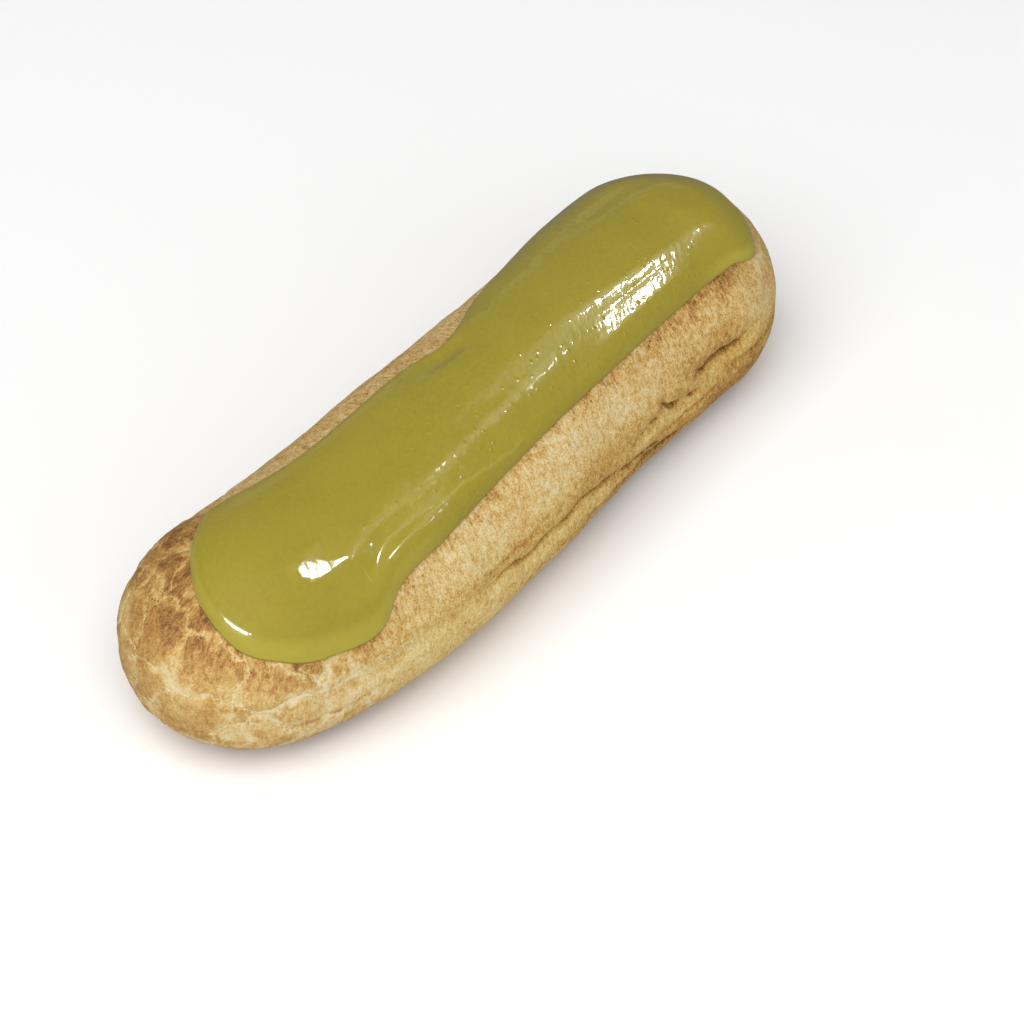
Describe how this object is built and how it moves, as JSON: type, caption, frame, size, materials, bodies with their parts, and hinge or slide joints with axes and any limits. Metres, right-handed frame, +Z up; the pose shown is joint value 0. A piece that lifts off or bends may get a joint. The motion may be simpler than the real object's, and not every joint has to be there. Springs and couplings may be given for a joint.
{
  "type": "pistachio eclair",
  "caption": "Whole filled eclair of baked choux pastry with a glossy green icing along its top, lying on its flat base.",
  "frame": {"origin": "on the surface it rests on, under the middle of the choux body's box", "axes": "+X along the length from the bulkier end to the slimmer one, +Y across, +Z up from the flat base to the icing"},
  "size_m": [0.1522, 0.0488, 0.0395],
  "materials": {
    "choux": "baked golden crust, matt and finely mottled",
    "icing": "smooth glossy pistachio green icing"
  },
  "bodies": {
    "root": {"choux": "choux", "icing": "icing"}
  },
  "joints": []
}
